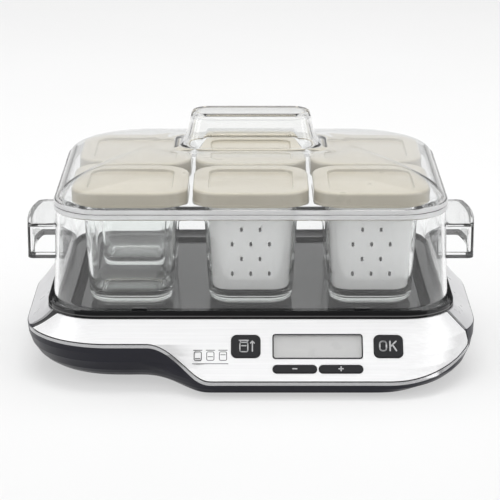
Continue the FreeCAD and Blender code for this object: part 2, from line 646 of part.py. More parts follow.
def make_cover():
    outside = new_body("cover_outside", y="Sizes.chamber_y")
    dome_loft(outside, "dome", 0.0, "Sizes.cover_z")
    lip = rounded(outside, "cover_lip_outline", "Sizes.cover_z",
                  "2 * (Sizes.wall_top_half + Sizes.lip_proud)",
                  "2 * (Sizes.wall_top_reach + Sizes.lip_proud)", "Sizes.wall_top_corner + Sizes.lip_proud")
    pad(outside, lip, "cover_lip", "Sizes.cover_lip")
    knob = knob_loft(outside, "knob", 0.0, 0.0)
    round_edges(outside, knob, "knob_edge", "Sizes.knob_round", edge_at(size("knob_top")))
    inside = new_body("cover_inside", y="Sizes.chamber_y")
    dome_loft(inside, "hollow", size("clear_wall"), "(Sizes.cover_z - 1)")
    neck = rounded(inside, "neck_outline", "Sizes.neck_low", "2 * Sizes.neck_half", "2 * Sizes.neck_reach",
                   "Sizes.neck_reach / 2")
    pad(inside, neck, "neck", "Sizes.neck_high")
    knob_loft(inside, "knob_hollow", size("knob_wall"), size("knob_wall"))
    cover = doc.addObject("Part::Cut", "cover")
    cover.Base = outside
    cover.Tool = inside
    cover.Label = "cover"


make_cover()


# ---------------------------------------------------------------- jars, lids and strainers
COLUMNS = (("left", -1), ("middle", 0), ("right", 1))
ROWS = (("front", -1), ("rear", 1))


def jar_place(column, row):
    """Expressions for the middle of one jar."""
    return "%d * Sizes.jar_pitch" % column, "Sizes.chamber_y + %d * Sizes.jar_pitch / 2" % row


LEAN = "atan((Sizes.jar_mouth - Sizes.jar_foot) / 2 / Sizes.jar_high)"


def make_jar(label, x, y):
    body = new_body(label, x, y, "Sizes.jar_z")
    foot = rounded(body, label + "_foot", "0", "Sizes.jar_foot", "Sizes.jar_foot", "Sizes.jar_foot_corner")
    outside = pad(body, foot, label + "_outside", "Sizes.jar_high")
    outside.setExpression("TaperAngle", LEAN)
    round_edges(body, outside, label + "_foot_edge", "Sizes.jar_foot_round", edge_at(0.0))
    inner = "Sizes.jar_foot + 0.5 - 2 * Sizes.jar_wall"
    well = rounded(body, label + "_well", "Sizes.jar_floor", inner, inner,
                   "Sizes.jar_foot_corner - Sizes.jar_wall")
    inside = pocket(body, well, label + "_inside", "Sizes.jar_high - Sizes.jar_floor", reverse=True)
    inside.setExpression("TaperAngle", LEAN)


def make_lid(label, x, y):
    body = new_body(label, x, y)
    block_outline = rounded(body, label + "_outline", "Sizes.lid_low", "Sizes.lid_size", "Sizes.lid_size",
                       "Sizes.lid_corner")
    block = pad(body, block_outline, label + "_block", "Sizes.lid_top - Sizes.lid_low")
    round_edges(body, block, label + "_edge", "Sizes.lid_round", edge_at(size("lid_top")))
    dish = rounded(body, label + "_dish_outline", "Sizes.lid_top", "Sizes.lid_size - 2 * Sizes.lid_border",
                   "Sizes.lid_size - 2 * Sizes.lid_border", "Sizes.lid_corner - Sizes.lid_border + 1")
    pocket(body, dish, label + "_dish", "Sizes.lid_dish")
    hollow = rounded(body, label + "_hollow_outline", "Sizes.lid_low", "Sizes.lid_size - 2 * Sizes.lid_wall",
                     "Sizes.lid_size - 2 * Sizes.lid_wall", "Sizes.lid_corner - Sizes.lid_wall")
    pocket(body, hollow, label + "_hollow", "Sizes.lid_top - Sizes.lid_low - Sizes.lid_roof", reverse=True)
    grip_low = "Sizes.lid_top - Sizes.lid_roof - Sizes.lid_grip_long"
    grip = rounded(body, label + "_grip_outline", grip_low, "Sizes.lid_grip", "Sizes.lid_grip",
                   "Sizes.jar_mouth_corner + 3")
    draw_rounded_inside(grip, "Sizes.lid_grip - 2 * Sizes.lid_grip_wall", "Sizes.jar_mouth_corner + 1")
    pad(body, grip, label + "_grip", "Sizes.lid_grip_long + 0.2")


def draw_rounded_inside(sketch, wide, corner):
    """A second, smaller rounded square in the same sketch, placed by value."""
    half = value_of(wide) / 2
    radius = value_of(corner)
    quarter = math.pi / 2
    for index, (sx, sy) in enumerate(((1, -1), (1, 1), (-1, 1), (-1, -1))):
        middle = Vector(sx * (half - radius), sy * (half - radius), 0)
        start = (index - 1) * quarter
        circle = Part.Circle(middle, Vector(0, 0, 1), radius)
        sketch.addGeometry(Part.ArcOfCircle(circle, start, start + quarter), False)
    inner = half - radius
    sides = (((-inner, -half), (inner, -half)), ((half, -inner), (half, inner)),
             ((inner, half), (-inner, half)), ((-half, inner), (-half, -inner)))
    for (x1, y1), (x2, y2) in sides:
        sketch.addGeometry(Part.LineSegment(Vector(x1, y1, 0), Vector(x2, y2, 0)), False)


def value_of(text):
    """The number that an expression of the sheet gives."""
    return float(sheet.evalExpression(text.replace("Sizes.", "")))


def draw_slot(sketch, x, y, wide, high):
    """An upright slot with round ends."""
    r = wide / 2
    reach = high / 2 - r
    up = Vector(0, 0, 1)
    sketch.addGeometry(Part.ArcOfCircle(Part.Circle(Vector(x, y + reach, 0), up, r), 0, math.pi), False)
    sketch.addGeometry(Part.LineSegment(Vector(x - r, y + reach, 0), Vector(x - r, y - reach, 0)), False)
    sketch.addGeometry(Part.ArcOfCircle(Part.Circle(Vector(x, y - reach, 0), up, r), math.pi, 2 * math.pi), False)
    sketch.addGeometry(Part.LineSegment(Vector(x + r, y - reach, 0), Vector(x + r, y + reach, 0)), False)


def make_strainer(label, x, y):
    body = new_body(label, x, y)
    mouth_z = "Sizes.jar_z + Sizes.jar_high + Sizes.rest_gap"
    lean = (size("jar_mouth") - size("jar_foot")) / size("jar_high")
    drop = size("jar_z") + size("jar_high") - size("strainer_foot_z")
    foot = size("jar_mouth") - 2 * (size("jar_wall") + size("strainer_gap")) - lean * drop
    outer = rounded(body, label + "_foot", "Sizes.strainer_foot_z", "%g" % foot, "%g" % foot,
                    "Sizes.jar_foot_corner - 3")
    cup = pad(body, outer, label + "_outside", mouth_z + " - Sizes.strainer_foot_z")
    cup.setExpression("TaperAngle", LEAN)
    rim = rounded(body, label + "_rim_outline", mouth_z, "Sizes.strainer_rim", "Sizes.strainer_rim",
                  "Sizes.jar_mouth_corner - 0.5")
    pad(body, rim, label + "_rim", "Sizes.strainer_rim_thick")
    thin = foot - 2 * size("strainer_wall")
    well = rounded(body, label + "_well", "Sizes.strainer_foot_z + Sizes.strainer_wall",
                   "%g" % thin, "%g" % thin, "Sizes.jar_foot_corner - 3 - Sizes.strainer_wall")
    depth = mouth_z + " + Sizes.strainer_rim_thick - Sizes.strainer_foot_z - Sizes.strainer_wall"
    inside = pocket(body, well, label + "_inside", depth, reverse=True)
    inside.setExpression("TaperAngle", LEAN)
    for role in ("XZ_Plane", "YZ_Plane"):
        sketch = new_sketch(body, label + "_holes_" + role[:2], "0", role)
        for row in range(4):
            places = (-1, 0, 1) if row % 2 == 0 else (-0.5, 0.5)
            for place in places:
                draw_slot(sketch, place * size("hole_pitch"), size("hole_low") + row * size("hole_row"),
                          size("hole_wide"), size("hole_high"))
        cut = body.newObject("PartDesign::Pocket", label + "_slots_" + role[:2])
        cut.Profile = sketch
        cut.Midplane = True
        cut.Length = 80.0


for row_name, row_side in ROWS:
    for column_name, column_side in COLUMNS:
        place = jar_place(column_side, row_side)
        make_jar("jar_%s_%s" % (row_name, column_name), *place)
        make_lid("jar_lid_%s_%s" % (row_name, column_name), *place)
for column_name, column_side in COLUMNS[1:]:
    make_strainer("strainer_front_" + column_name, *jar_place(column_side, -1))


# ---------------------------------------------------------------- underside, heating and power
def make_hatch():
    """Cover of the underside with a raised middle and vent slots."""
    body = new_body("bottom_cover", y="Sizes.chamber_y", z="Sizes.sole_z")
    plate = rounded(body, "hatch_outline", "0", "Sizes.hatch_wide", "Sizes.hatch_deep", "Sizes.hatch_corner")
    pad(body, plate, "hatch_plate", "Sizes.hatch_thick")
    boss = rounded(body, "hatch_boss_outline", "Sizes.hatch_thick",
                   "Sizes.hatch_wide - 2 * Sizes.hatch_ledge - 0.6",
                   "Sizes.hatch_deep - 2 * Sizes.hatch_ledge - 0.6", "Sizes.hatch_corner - Sizes.hatch_ledge")
    pad(body, boss, "hatch_boss", "Sizes.hatch_boss")
    vents = new_sketch(body, "vent_outline")
    for index in range(-4, 5):
        draw_slot(vents, index * 9.0, 0.0, 3.0, 34.0)
    pocket(body, vents, "vents", "5", reverse=True)
    holes = new_sketch(body, "screw_hole_outline")
    for sx in ("", "-"):
        for sy in ("", "-"):
            draw_circle(holes, "Sizes.screw_radius + 0.1", sx + "Sizes.screw_x", sy + "Sizes.screw_y")
    pocket(body, holes, "screw_holes", "5", reverse=True)


make_hatch()


def make_screws(label, places, low, length, head_below):
    """A group of pan-head screws, shank upwards from the head."""
    parts = []
    for x, y in places:
        shank = Part.makeCylinder(size("screw_radius"), length, Vector(x, y, low))
        head = Part.makeCylinder(size("screw_head"), 1.0, Vector(x, y, low - head_below))
        slot = Part.makeBox(4.0, 0.8, 0.5, Vector(x - 2, y - 0.4, low - head_below))
        parts.append(shank.fuse(head).cut(slot))
    add_shape(label, Part.makeCompound(parts))


SCREW_SPOTS = corners_of("screw_x", "screw_y")
make_screws("bottom_screws", SCREW_SPOTS, size("sole_z"), 9.0, 1.0)


def make_feet():
    parts = []
    for x, y in corners_of("foot_x", "foot_y"):
        foot = Part.makeCone(size("foot_radius") - 0.8, size("foot_radius"), size("sole_z"), Vector(x, y, 0))
        parts.append(foot)
    add_shape("rubber_feet", Part.makeCompound(parts))


make_feet()


def make_spreader():
    body = new_body("heat_spreader", y="Sizes.chamber_y", z="Sizes.pan_bottom - Sizes.spreader_thick")
    plate = rounded(body, "spreader_outline", "0", "Sizes.spreader_wide", "Sizes.spreader_deep",
                    "Sizes.spreader_corner")
    pad(body, plate, "spreader", "Sizes.spreader_thick")


make_spreader()
UNDER_SPREADER = size("pan_bottom") - size("spreader_thick")
ELEMENT_Z = UNDER_SPREADER - size("element_radius") - 0.05


def make_element():
    """Sheathed heater bent into an open loop, with two upturned cold ends at the back."""
    a, b, r = size("element_wide") / 2, size("element_deep") / 2, size("element_bend")
    z, gap = ELEMENT_Z, 16.0

    def corner(cx, cy, start):
        turns = [math.radians(start + t) for t in (0, 45, 90)]
        return Part.Arc(*[Vector(cx + r * math.cos(t), cy + r * math.sin(t), z) for t in turns]).toShape()
    edges = [Part.makeLine(Vector(-gap, b, z), Vector(r - a, b, z)), corner(r - a, b - r, 90),
             Part.makeLine(Vector(-a, b - r, z), Vector(-a, r - b, z)), corner(r - a, r - b, 180),
             Part.makeLine(Vector(r - a, -b, z), Vector(a - r, -b, z)), corner(a - r, r - b, 270),
             Part.makeLine(Vector(a, r - b, z), Vector(a, b - r, z)), corner(a - r, b - r, 0),
             Part.makeLine(Vector(a - r, b, z), Vector(gap, b, z))]
    path = Part.Wire(edges)
    ring = Part.Wire([Part.makeCircle(size("element_radius"), Vector(-gap, b, z), Vector(1, 0, 0))])
    tube = path.makePipeShell([ring], True, False)
    ends = []
    for side in (-1, 1):
        ends.append(Part.makeCylinder(1.2, 9.0, Vector(side * gap, b, z), Vector(-side, 0, 0)))
    add_shape("heating_element", tube.fuse(ends[0]).fuse(ends[1]))


make_element()


def make_clips():
    """Saddle clips under the element that hold it up to the spreader."""
    parts = []
    wide, deep, thick = 6.0, 18.0, 1.4
    bend = size("element_radius") + 0.1
    low, top = ELEMENT_Z - size("element_radius") - thick, UNDER_SPREADER - 0.05
    for x in (-50.0, 50.0):
        for y in (-size("element_deep") / 2, size("element_deep") / 2):
            block = Part.makeBox(wide, deep, top - low, Vector(x - wide / 2, y - deep / 2, low))
            groove = Part.makeCylinder(bend, 2 * wide, Vector(x - wide, y, ELEMENT_Z), Vector(1, 0, 0))
            mouth = Part.makeBox(2 * wide, 2 * bend, thick + 2 * bend, Vector(x - wide, y - bend, ELEMENT_Z))
            parts.append(block.cut(groove.fuse(mouth)))
    add_shape("element_clips", Part.makeCompound(parts))


make_clips()


def make_inner_parts():
    top = UNDER_SPREADER - 0.05
    sensor = Part.makeCylinder(4.0, 6.0, Vector(0, 0, top - 6))
    sensor = sensor.fuse(Part.makeBox(16, 6, 1.2, Vector(-8, -3, top - 1.2)))
    add_shape("temperature_sensor", sensor)
    fuse = Part.makeCylinder(2.0, 14.0, Vector(28, 12, top - 2.1), Vector(1, 0, 0))
    lead = Part.makeCylinder(0.5, 30.0, Vector(20, 12, top - 2.1), Vector(1, 0, 0))
    add_shape("thermal_fuse", fuse.fuse(lead))
    floor = size("sole_z") + size("hatch_thick") + size("hatch_boss")
    low = floor + size("spacer_high")
    board = Part.makeBox(78, 46, 1.6, Vector(-70, 4, low))
    for x, y in ((-65, 9), (-65, 45), (3, 9), (3, 45)):
        board = board.fuse(Part.makeCylinder(2.5, size("spacer_high") + 1, Vector(x, y, floor)))
    transformer = Part.makeBox(30, 26, 18, Vector(-62, 14, low + 1.6))
    relay = Part.makeBox(16, 12, 12, Vector(-24, 20, low + 1.6))
    capacitor = Part.makeCylinder(5, 12, Vector(-16, 42, low + 1.6))
    add_shape("power_board", board.fuse(transformer).fuse(relay).fuse(capacitor))
    foot = size("sole_z") + size("floor_thick")
    block = rounded_prism(22, 10, 1.0, foot, low + 11, x=size("gland_x") - 30, y=62.0)
    for x in (-6.0, 0.0, 6.0):
        block = block.cut(Part.makeCylinder(1.8, 4, Vector(size("gland_x") - 30 + x, 62, low + 8)))
    add_shape("terminal_block", block)


make_inner_parts()


def make_gland():
    """Round inlet for the supply cord: a sleeve through the wall, an outer collar and an inner nut."""
    body = new_body("cord_gland", "Sizes.gland_x", "0", "Sizes.gland_z")
    axis_sketch = new_sketch(body, "gland_section", "0", "YZ_Plane")
    end = size("gland_end")
    wall_y = size("chamber_y") + gland_wall_y()
    bore, sleeve, collar = size("cord_radius"), size("gland_radius"), size("gland_collar")
    profile = ((wall_y - 14, bore), (wall_y - 14, sleeve), (wall_y + 1.5, sleeve), (wall_y + 1.5, collar),
               (end - 1.2, collar - 1.4), (end, collar - 2.6), (end, bore))
    spots = [Vector(y, z, 0) for y, z in profile]
    for a, b in zip(spots, spots[1:] + spots[:1]):
        axis_sketch.addGeometry(Part.LineSegment(a, b), False)
    turn = body.newObject("PartDesign::Revolution", "gland_turn")
    turn.Profile = axis_sketch
    turn.ReferenceAxis = (axis_sketch, ["H_Axis"])
    turn.Angle = 360.0


def gland_wall_y():
    """How far back the outside of the rear wall is, level with the gland."""
    drop = size("brim_z") - size("sole_z")
    share = (size("brim_z") - size("gland_z")) / drop
    return size("sole_rear") + (size("brim_rear") - size("sole_rear")) * math.sqrt(1 - share ** 2)


make_gland()

# ---------------------------------------------------------------- check and export
HELPERS = ("cover_outside", "cover_inside")
doc.recompute()
faults = []
for item in doc.Objects:
    if "Invalid" in item.State or "Error" in item.State:
        faults.append("%s: %s" % (item.Label, item.State))
pieces = [item for item in doc.Objects
          if item.TypeId in ("PartDesign::Body", "Part::Feature", "Part::Cut") and item.Label not in HELPERS]
for piece in pieces:
    if piece.Shape.isNull() or not piece.Shape.isValid() or not piece.Shape.Solids:
        faults.append("%s: bad shape" % piece.Label)
if faults:
    raise RuntimeError("; ".join(faults))
os.makedirs("parts", exist_ok=True)
whole = FreeCAD.BoundBox()
for piece in pieces:
    piece.Shape.exportStep("parts/%s.step" % piece.Label)
    whole.add(piece.Shape.BoundBox)
    print("%-24s %2d solid(s) %10.0f mm3" % (piece.Label, len(piece.Shape.Solids), piece.Shape.Volume))
print("overall box", whole)
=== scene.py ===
"""Six-jar yogurt maker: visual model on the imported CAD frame. Metres, +Z up, front towards -Y."""
import math

import bmesh
import bpy
from mathutils import Matrix, Vector


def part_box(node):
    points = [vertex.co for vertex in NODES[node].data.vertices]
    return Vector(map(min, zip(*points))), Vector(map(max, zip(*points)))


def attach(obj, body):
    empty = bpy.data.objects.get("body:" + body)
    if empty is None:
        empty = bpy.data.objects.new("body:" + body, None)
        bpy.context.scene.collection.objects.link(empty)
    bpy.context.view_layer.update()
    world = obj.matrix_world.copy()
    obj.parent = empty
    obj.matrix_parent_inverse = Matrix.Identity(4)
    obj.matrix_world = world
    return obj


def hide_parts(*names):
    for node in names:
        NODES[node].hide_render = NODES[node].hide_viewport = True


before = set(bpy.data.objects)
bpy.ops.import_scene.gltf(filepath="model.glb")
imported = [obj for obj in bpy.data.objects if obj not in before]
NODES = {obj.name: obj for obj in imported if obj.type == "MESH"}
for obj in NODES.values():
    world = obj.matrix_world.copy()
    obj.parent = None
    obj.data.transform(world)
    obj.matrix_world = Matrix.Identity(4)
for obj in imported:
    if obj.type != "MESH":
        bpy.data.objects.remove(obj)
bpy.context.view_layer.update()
MM = 0.001
SIDES = (("left", -1), ("right", 1))
JARS = [(row, column) for row in ("front", "rear") for column in ("left", "middle", "right")]

# the sloping panel's own frame: origin on its top edge, x to the right, y up the slope, z outwards
PANEL_TOP = Vector((0.0, -91.5, 43.0)) * MM
PANEL_SLOPE = math.radians(48.314)
PANEL = Matrix.Translation(PANEL_TOP) @ Matrix.Rotation(PANEL_SLOPE, 4, "X")

# millimetres: how far a jar's foot is drawn in from its mouth over its height, and the clear parts' wall
JAR_FOOT, JAR_HIGH = 3.75, 69.9
WALL = 2.4
# outline of the tray: half width, half depth and corner
TRAY_OUTLINE = (132.0, 96.0, 34.0)
# side handles: half length, reach from the middle, underside and top
EAR_HALF, EAR_REACH, EAR_LOW, EAR_HIGH = 31.0, 150.0, 63.5, 87.5
# how far a printed line goes into a face and stands above it
PRINT_SINK, PRINT_PROUD = 0.05, 0.05


# ---------------------------------------------------------------- node materials
class Shader:
    """A node tree being built: each call adds one node and returns its output socket."""

    def __init__(self, name):
        self.mat = bpy.data.materials.new(name)
        self.mat.use_nodes = True
        self.tree = self.mat.node_tree
        self.tree.nodes.clear()
        self.coords = self.node("TexCoord").outputs["Object"]

    def node(self, kind, **settings):
        made = self.tree.nodes.new("ShaderNode" + kind)
        for key, value in settings.items():
            setattr(made, key, value)
        return made

    def plug(self, made, values):
        """Sets or links a node's inputs by name or number."""
        for key, value in values.items():
            if isinstance(value, bpy.types.NodeSocket):
                self.tree.links.new(value, made.inputs[key])
            else:
                made.inputs[key].default_value = value

    def stretched(self, scale):
        """The object's coordinates scaled by a different number on each axis."""
        made = self.node("Mapping")
        self.plug(made, {"Vector": self.coords, "Scale": scale})
        return made.outputs[0]

    def noise(self, scale, detail=3.0, roughness=0.5, vector=None):
        made = self.node("TexNoise")
        self.plug(made, {"Vector": vector or self.coords, "Scale": scale, "Detail": detail,
                         "Roughness": roughness})
        return made.outputs["Fac"]

    def ramp(self, value, low, high, to_low, to_high):
        """value moved from the range low..high to to_low..to_high, clamped."""
        made = self.node("MapRange")
        self.plug(made, {"Value": value, "From Min": low, "From Max": high,
                         "To Min": to_low, "To Max": to_high})
        return made.outputs[0]

    def math(self, operation, first, second=0.0):
        """A sum such as ADD, or a test such as LESS_THAN that gives 0 or 1."""
        made = self.node("Math", operation=operation)
        self.plug(made, {0: first, 1: second})
        return made.outputs[0]

    def blend(self, share, first, second):
        """A colour between two colours."""
        made = self.node("Mix", data_type="RGBA")
        self.plug(made, {0: share, 6: first, 7: second})
        return made.outputs[2]

    def bump(self, height, strength, distance):
        made = self.node("Bump")
        self.plug(made, {"Height": height, "Strength": strength, "Distance": distance})
        return made.outputs[0]

    def finish(self, surface):
        out = self.node("OutputMaterial")
        self.tree.links.new(surface, out.inputs["Surface"])
        return self.mat

    def principled(self, **values):
        made = self.node("BsdfPrincipled")
        self.plug(made, {key.replace("_", " "): value for key, value in values.items()})
        return made.outputs[0]


def colour(r, g, b):
    return (r, g, b, 1.0)


def shade(rgb, factor):
    """A darker or lighter version of a colour."""
    return colour(*[min(1.0, c * factor) for c in rgb])


def moulded(name, rgb, gloss, grain=1400.0, depth=0.00002, patch=0.06, coat=0.0, alpha=1.0, specular=0.5):
    """Moulded plastic: a fine spark-eroded grain, faint cloudy colour and uneven gloss."""
    s = Shader(name)
    cloud = s.noise(22.0, 4.0)
    fine = s.noise(grain, 2.0, 0.6)
    tint = s.blend(s.ramp(cloud, 0.3, 0.7, 0.0, 1.0), shade(rgb, 1 - patch), shade(rgb, 1 + patch))
    rough = s.ramp(s.noise(60.0, 5.0), 0.3, 0.7, gloss * 0.85, gloss * 1.2)
    surface = s.principled(Base_Color=tint, Roughness=rough, Normal=s.bump(fine, 0.35, depth),
                           Coat_Weight=coat, Coat_Roughness=0.12, Alpha=alpha, Specular_IOR_Level=specular)
    return s.finish(surface)


def metal(name, rgb, gloss, stretch=(1.0, 1.0, 1.0), scale=400.0, depth=0.00001, metallic=1.0):
    """Metal whose grain runs along the axis that is stretched least."""
    s = Shader(name)
    grain = s.noise(scale, 4.0, 0.65, s.stretched(stretch))
    cloud = s.noise(14.0, 3.0)
    tint = s.blend(s.ramp(grain, 0.25, 0.75, 0.0, 1.0), shade(rgb, 0.95), shade(rgb, 1.05))
    streak = s.noise(scale * 0.6, 3.0, 0.6, s.stretched(stretch))
    rough = s.ramp(streak, 0.2, 0.8, gloss * 0.75, gloss * 1.25)
    tint = s.blend(s.ramp(cloud, 0.35, 0.65, 0.0, 0.12), tint, shade(rgb, 0.85))
    surface = s.principled(Base_Color=tint, Metallic=metallic, Roughness=rough,
                           Normal=s.bump(grain, 0.4, depth))
    return s.finish(surface)


def clear(name, tint, index, gloss, wave):
    """Clear plastic or glass. Lamps and soft light reach what is behind it."""
    s = Shader(name)
    flow = s.noise(18.0, 2.0)
    rough = s.ramp(s.noise(240.0, 3.0), 0.35, 0.75, gloss, gloss + 0.02)
    glass = s.principled(Base_Color=tint, Transmission_Weight=1.0, IOR=index, Roughness=rough,
                         Normal=s.bump(flow, 0.25, wave))
    through = s.node("BsdfTransparent")
    s.plug(through, {"Color": colour(0.985, 0.985, 0.985)})
    path = s.node("LightPath")
    lamp = s.math("MAXIMUM", path.outputs["Is Shadow Ray"], path.outputs["Is Diffuse Ray"])
    mix = s.node("MixShader")
    s.plug(mix, {0: lamp, 1: glass, 2: through.outputs[0]})
    return s.finish(mix.outputs[0])


STRAINER_WHITE = (0.93, 0.93, 0.925)


def strainer(node):
    """White moulded plastic whose drain holes are dark inside: the wall behind the front skin is in shade."""
    low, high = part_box(node)
    skin_inset, skin_drop = 0.0024, 0.0013    # from the box's edge to the front skin's top edge
    shade_start, shade_end = 0.0003, 0.00135  # depths behind the front skin
    holes_half, holes_drop = 0.0134, 0.008    # half width of the patch of holes, and its start below the rim
    s = Shader(node + "_white")
    axes = s.node("SeparateXYZ")
    s.plug(axes, {0: s.coords})
    x, y, z = axes.outputs
    lean = s.math("MULTIPLY", s.math("SUBTRACT", high.z - skin_drop, z), JAR_FOOT / JAR_HIGH)
    deep = s.math("SUBTRACT", y, s.math("ADD", lean, low.y + skin_inset))
    inside = s.math("MULTIPLY", s.math("GREATER_THAN", deep, shade_start),
                    s.math("LESS_THAN", deep, shade_end))
    aside = s.math("ABSOLUTE", s.math("SUBTRACT", x, (low.x + high.x) / 2))
    patch = s.math("MULTIPLY", s.math("LESS_THAN", aside, holes_half),
                   s.math("LESS_THAN", z, high.z - holes_drop))
    hidden = s.math("MULTIPLY", inside, patch)
    cloud = s.ramp(s.noise(22.0, 4.0), 0.3, 0.7, 0.0, 1.0)
    white = s.blend(cloud, shade(STRAINER_WHITE, 0.985), shade(STRAINER_WHITE, 1.015))
    tint = s.blend(hidden, white, shade(STRAINER_WHITE, 0.08))
    rough = s.ramp(s.noise(60.0, 5.0), 0.3, 0.7, 0.34, 0.48)
    normal = s.bump(s.noise(1400.0, 2.0, 0.6), 0.35, 0.00002)
    return s.finish(s.principled(Base_Color=tint, Roughness=rough, Normal=normal))


MATERIALS = {
    "navy_plastic": moulded("navy_plastic", (0.011, 0.011, 0.019), 0.35, specular=0.3),
    "brushed_panel": metal("brushed_panel", (0.9, 0.9, 0.905), 0.42, (12.0, 900.0, 900.0), 1.0, 0.000002,
                           metallic=0.45),
    "bright_trim": metal("bright_trim", (0.5, 0.5, 0.51), 0.22, scale=300.0, depth=0.000002, metallic=0.8),
    "silver_plastic": moulded("silver_plastic", (0.5, 0.5, 0.51), 0.3, coat=0.3),
    "black_plastic": moulded("black_plastic", (0.012, 0.012, 0.013), 0.3),
    "tray_enamel": moulded("tray_enamel", (0.016, 0.016, 0.017), 0.08, grain=60.0, depth=0.000003,
                           specular=0.4),
    "clear_plastic": clear("clear_plastic", colour(0.985, 0.99, 0.99), 1.49, 0.0, 0.00004),
    "jar_glass": clear("jar_glass", colour(0.985, 0.995, 0.99), 1.51, 0.0, 0.00012),
    "lid_cream": moulded("lid_cream", (0.45, 0.41, 0.32), 0.32, patch=0.02, coat=1.0),
    "strainer_white": moulded("strainer_white", STRAINER_WHITE, 0.4, patch=0.015),
    "key_dark": moulded("key_dark", (0.014, 0.014, 0.016), 0.35, specular=0.3),
    "window_clear": clear("window_clear", colour(0.98, 0.98, 0.98), 1.49, 0.02, 0.00001),
    "lcd_grey": moulded("lcd_grey", (0.56, 0.56, 0.555), 0.3, patch=0.02),
    "circuit_green": moulded("circuit_green", (0.02, 0.12, 0.06), 0.35, grain=800.0),
    "switch_black": moulded("switch_black", (0.02, 0.02, 0.02), 0.4),
    "aluminium_plate": metal("aluminium_plate", (0.75, 0.75, 0.76), 0.35, (20.0, 600.0, 600.0), 1.0),
    "heater_sheath": metal("heater_sheath", (0.32, 0.28, 0.25), 0.4),
    "spring_steel": metal("spring_steel", (0.6, 0.6, 0.62), 0.3),
    "sensor_brass": metal("sensor_brass", (0.72, 0.55, 0.25), 0.28),
    "screw_steel": metal("screw_steel", (0.62, 0.62, 0.64), 0.25),
    "rubber_grey": moulded("rubber_grey", (0.035, 0.035, 0.038), 0.75, grain=900.0, depth=0.00006),
    "terminal_white": moulded("terminal_white", (0.8, 0.78, 0.74), 0.4),
}

# finishes that only part of a piece has, some of them painted reflection and painted shade
# painted reflection: a pale grey, partly see-through band for the thick clear edges of the cover and wall
SEAM_PAINTED_REFLECTION = moulded("seam_painted_reflection", (0.82, 0.82, 0.83), 0.12, patch=0.02, alpha=0.55)
# painted shade: a dull black that reflects almost nothing, for the tray's deep channel and its rim
TRAY_PAINTED_SHADE = moulded("tray_painted_shade", (0.014, 0.014, 0.0145), 0.6, specular=0.03)
EDGE_SHADE = moulded("edge_shade", (0.06, 0.06, 0.062), 0.12, alpha=0.7)
RIM_GREY = moulded("rim_grey", (0.1, 0.1, 0.1), 0.3)

# the finish of every CAD node
NODE_SLOTS = {
    "base_housing": "navy_plastic", "control_fascia": "brushed_panel", "trim_strip": "bright_trim",
    "rear_band": "silver_plastic", "band_carrier": "black_plastic", "display_lens": "window_clear",
    "display_panel": "lcd_grey", "control_board": "circuit_green", "button_switches": "switch_black",
    "heating_tray": "tray_enamel", "chamber_wall": "clear_plastic", "cover": "clear_plastic",
    "bottom_cover": "navy_plastic", "bottom_screws": "screw_steel", "rubber_feet": "rubber_grey",
    "heat_spreader": "aluminium_plate", "heating_element": "heater_sheath", "element_clips": "spring_steel",
    "temperature_sensor": "sensor_brass", "thermal_fuse": "terminal_white", "power_board": "circuit_green",
    "terminal_block": "terminal_white", "cord_gland": "black_plastic",
    "strainer_front_middle": "strainer_white", "strainer_front_right": "strainer_white",
    "button_program": "key_dark", "button_ok": "key_dark",
    "button_minus": "key_dark", "button_plus": "key_dark",
}
for row, column in JARS:
    NODE_SLOTS["jar_%s_%s" % (row, column)] = "jar_glass"
    NODE_SLOTS["jar_lid_%s_%s" % (row, column)] = "lid_cream"


def paint(obj, slot):
    """Gives a piece one finish, with the record's slot of that name."""
    obj.data.materials.clear()
    obj.data.materials.append(MATERIALS[slot])


for node_name, slot_name in NODE_SLOTS.items():
    paint(NODES[node_name], slot_name)
for node_name in ("strainer_front_middle", "strainer_front_right"):
    NODES[node_name].data.materials[0] = strainer(node_name)


# ---------------------------------------------------------------- mesh builders
def finish_mesh(name, bm, slot, body, *replaced, turn=None, sharp=40.0):
    """Turns a bmesh into a piece: outward faces, smooth shading that keeps flats flat, finish and body."""
    bmesh.ops.recalc_face_normals(bm, faces=bm.faces)
    mesh = bpy.data.meshes.new(name)
    bm.to_mesh(mesh)
    bm.free()
    if turn is not None:
        mesh.transform(turn)
    for face in mesh.polygons:
        face.use_smooth = True
    mesh.set_sharp_from_angle(angle=math.radians(sharp))
    obj = bpy.data.objects.new(name, mesh)
    bpy.context.scene.collection.objects.link(obj)
    flats = obj.modifiers.new("flats", "WEIGHTED_NORMAL")
    flats.keep_sharp = True
    paint(obj, slot)
    if replaced:
        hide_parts(*replaced)
    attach(obj, body)
    return obj


def rounded_ring(half_x, half_y, corner, z, centre=(0.0, 0.0), arc=8):
    """A level rounded rectangle, anticlockwise from its front right corner. Sizes in millimetres."""
    corner = max(corner, 0.05)
    points = []
    for index, (sx, sy) in enumerate(((1, -1), (1, 1), (-1, 1), (-1, -1))):
        x, y = centre[0] + sx * (half_x - corner), centre[1] + sy * (half_y - corner)
        for step in range(arc + 1):
            angle = math.pi / 2 * (index - 1 + step / arc)
            points.append(Vector((x + corner * math.cos(angle), y + corner * math.sin(angle), z)) * MM)
    return points


def add_skin(bm, rings, loop=False):
    """Quads between rings of the same number of points, with the ends capped or joined in a loop."""
    rows = [[bm.verts.new(point) for point in ring] for ring in rings]
    count = len(rows[0])
    pairs = list(zip(rows, rows[1:])) + ([(rows[-1], rows[0])] if loop else [])
    for low, high in pairs:
        for i in range(count):
            j = (i + 1) % count
            bm.faces.new((low[i], low[j], high[j], high[i]))
    if not loop:
        bm.faces.new(list(reversed(rows[0])))
        bm.faces.new(rows[-1])


def inset_rings(half_x, half_y, corner, profile, centre=(0.0, 0.0), arc=8):
    """Rings for a profile of (inset, z) points: each ring is the outline moved inwards by inset."""
    return [rounded_ring(half_x - inset, half_y - inset, corner - inset, z, centre, arc)
            for inset, z in profile]


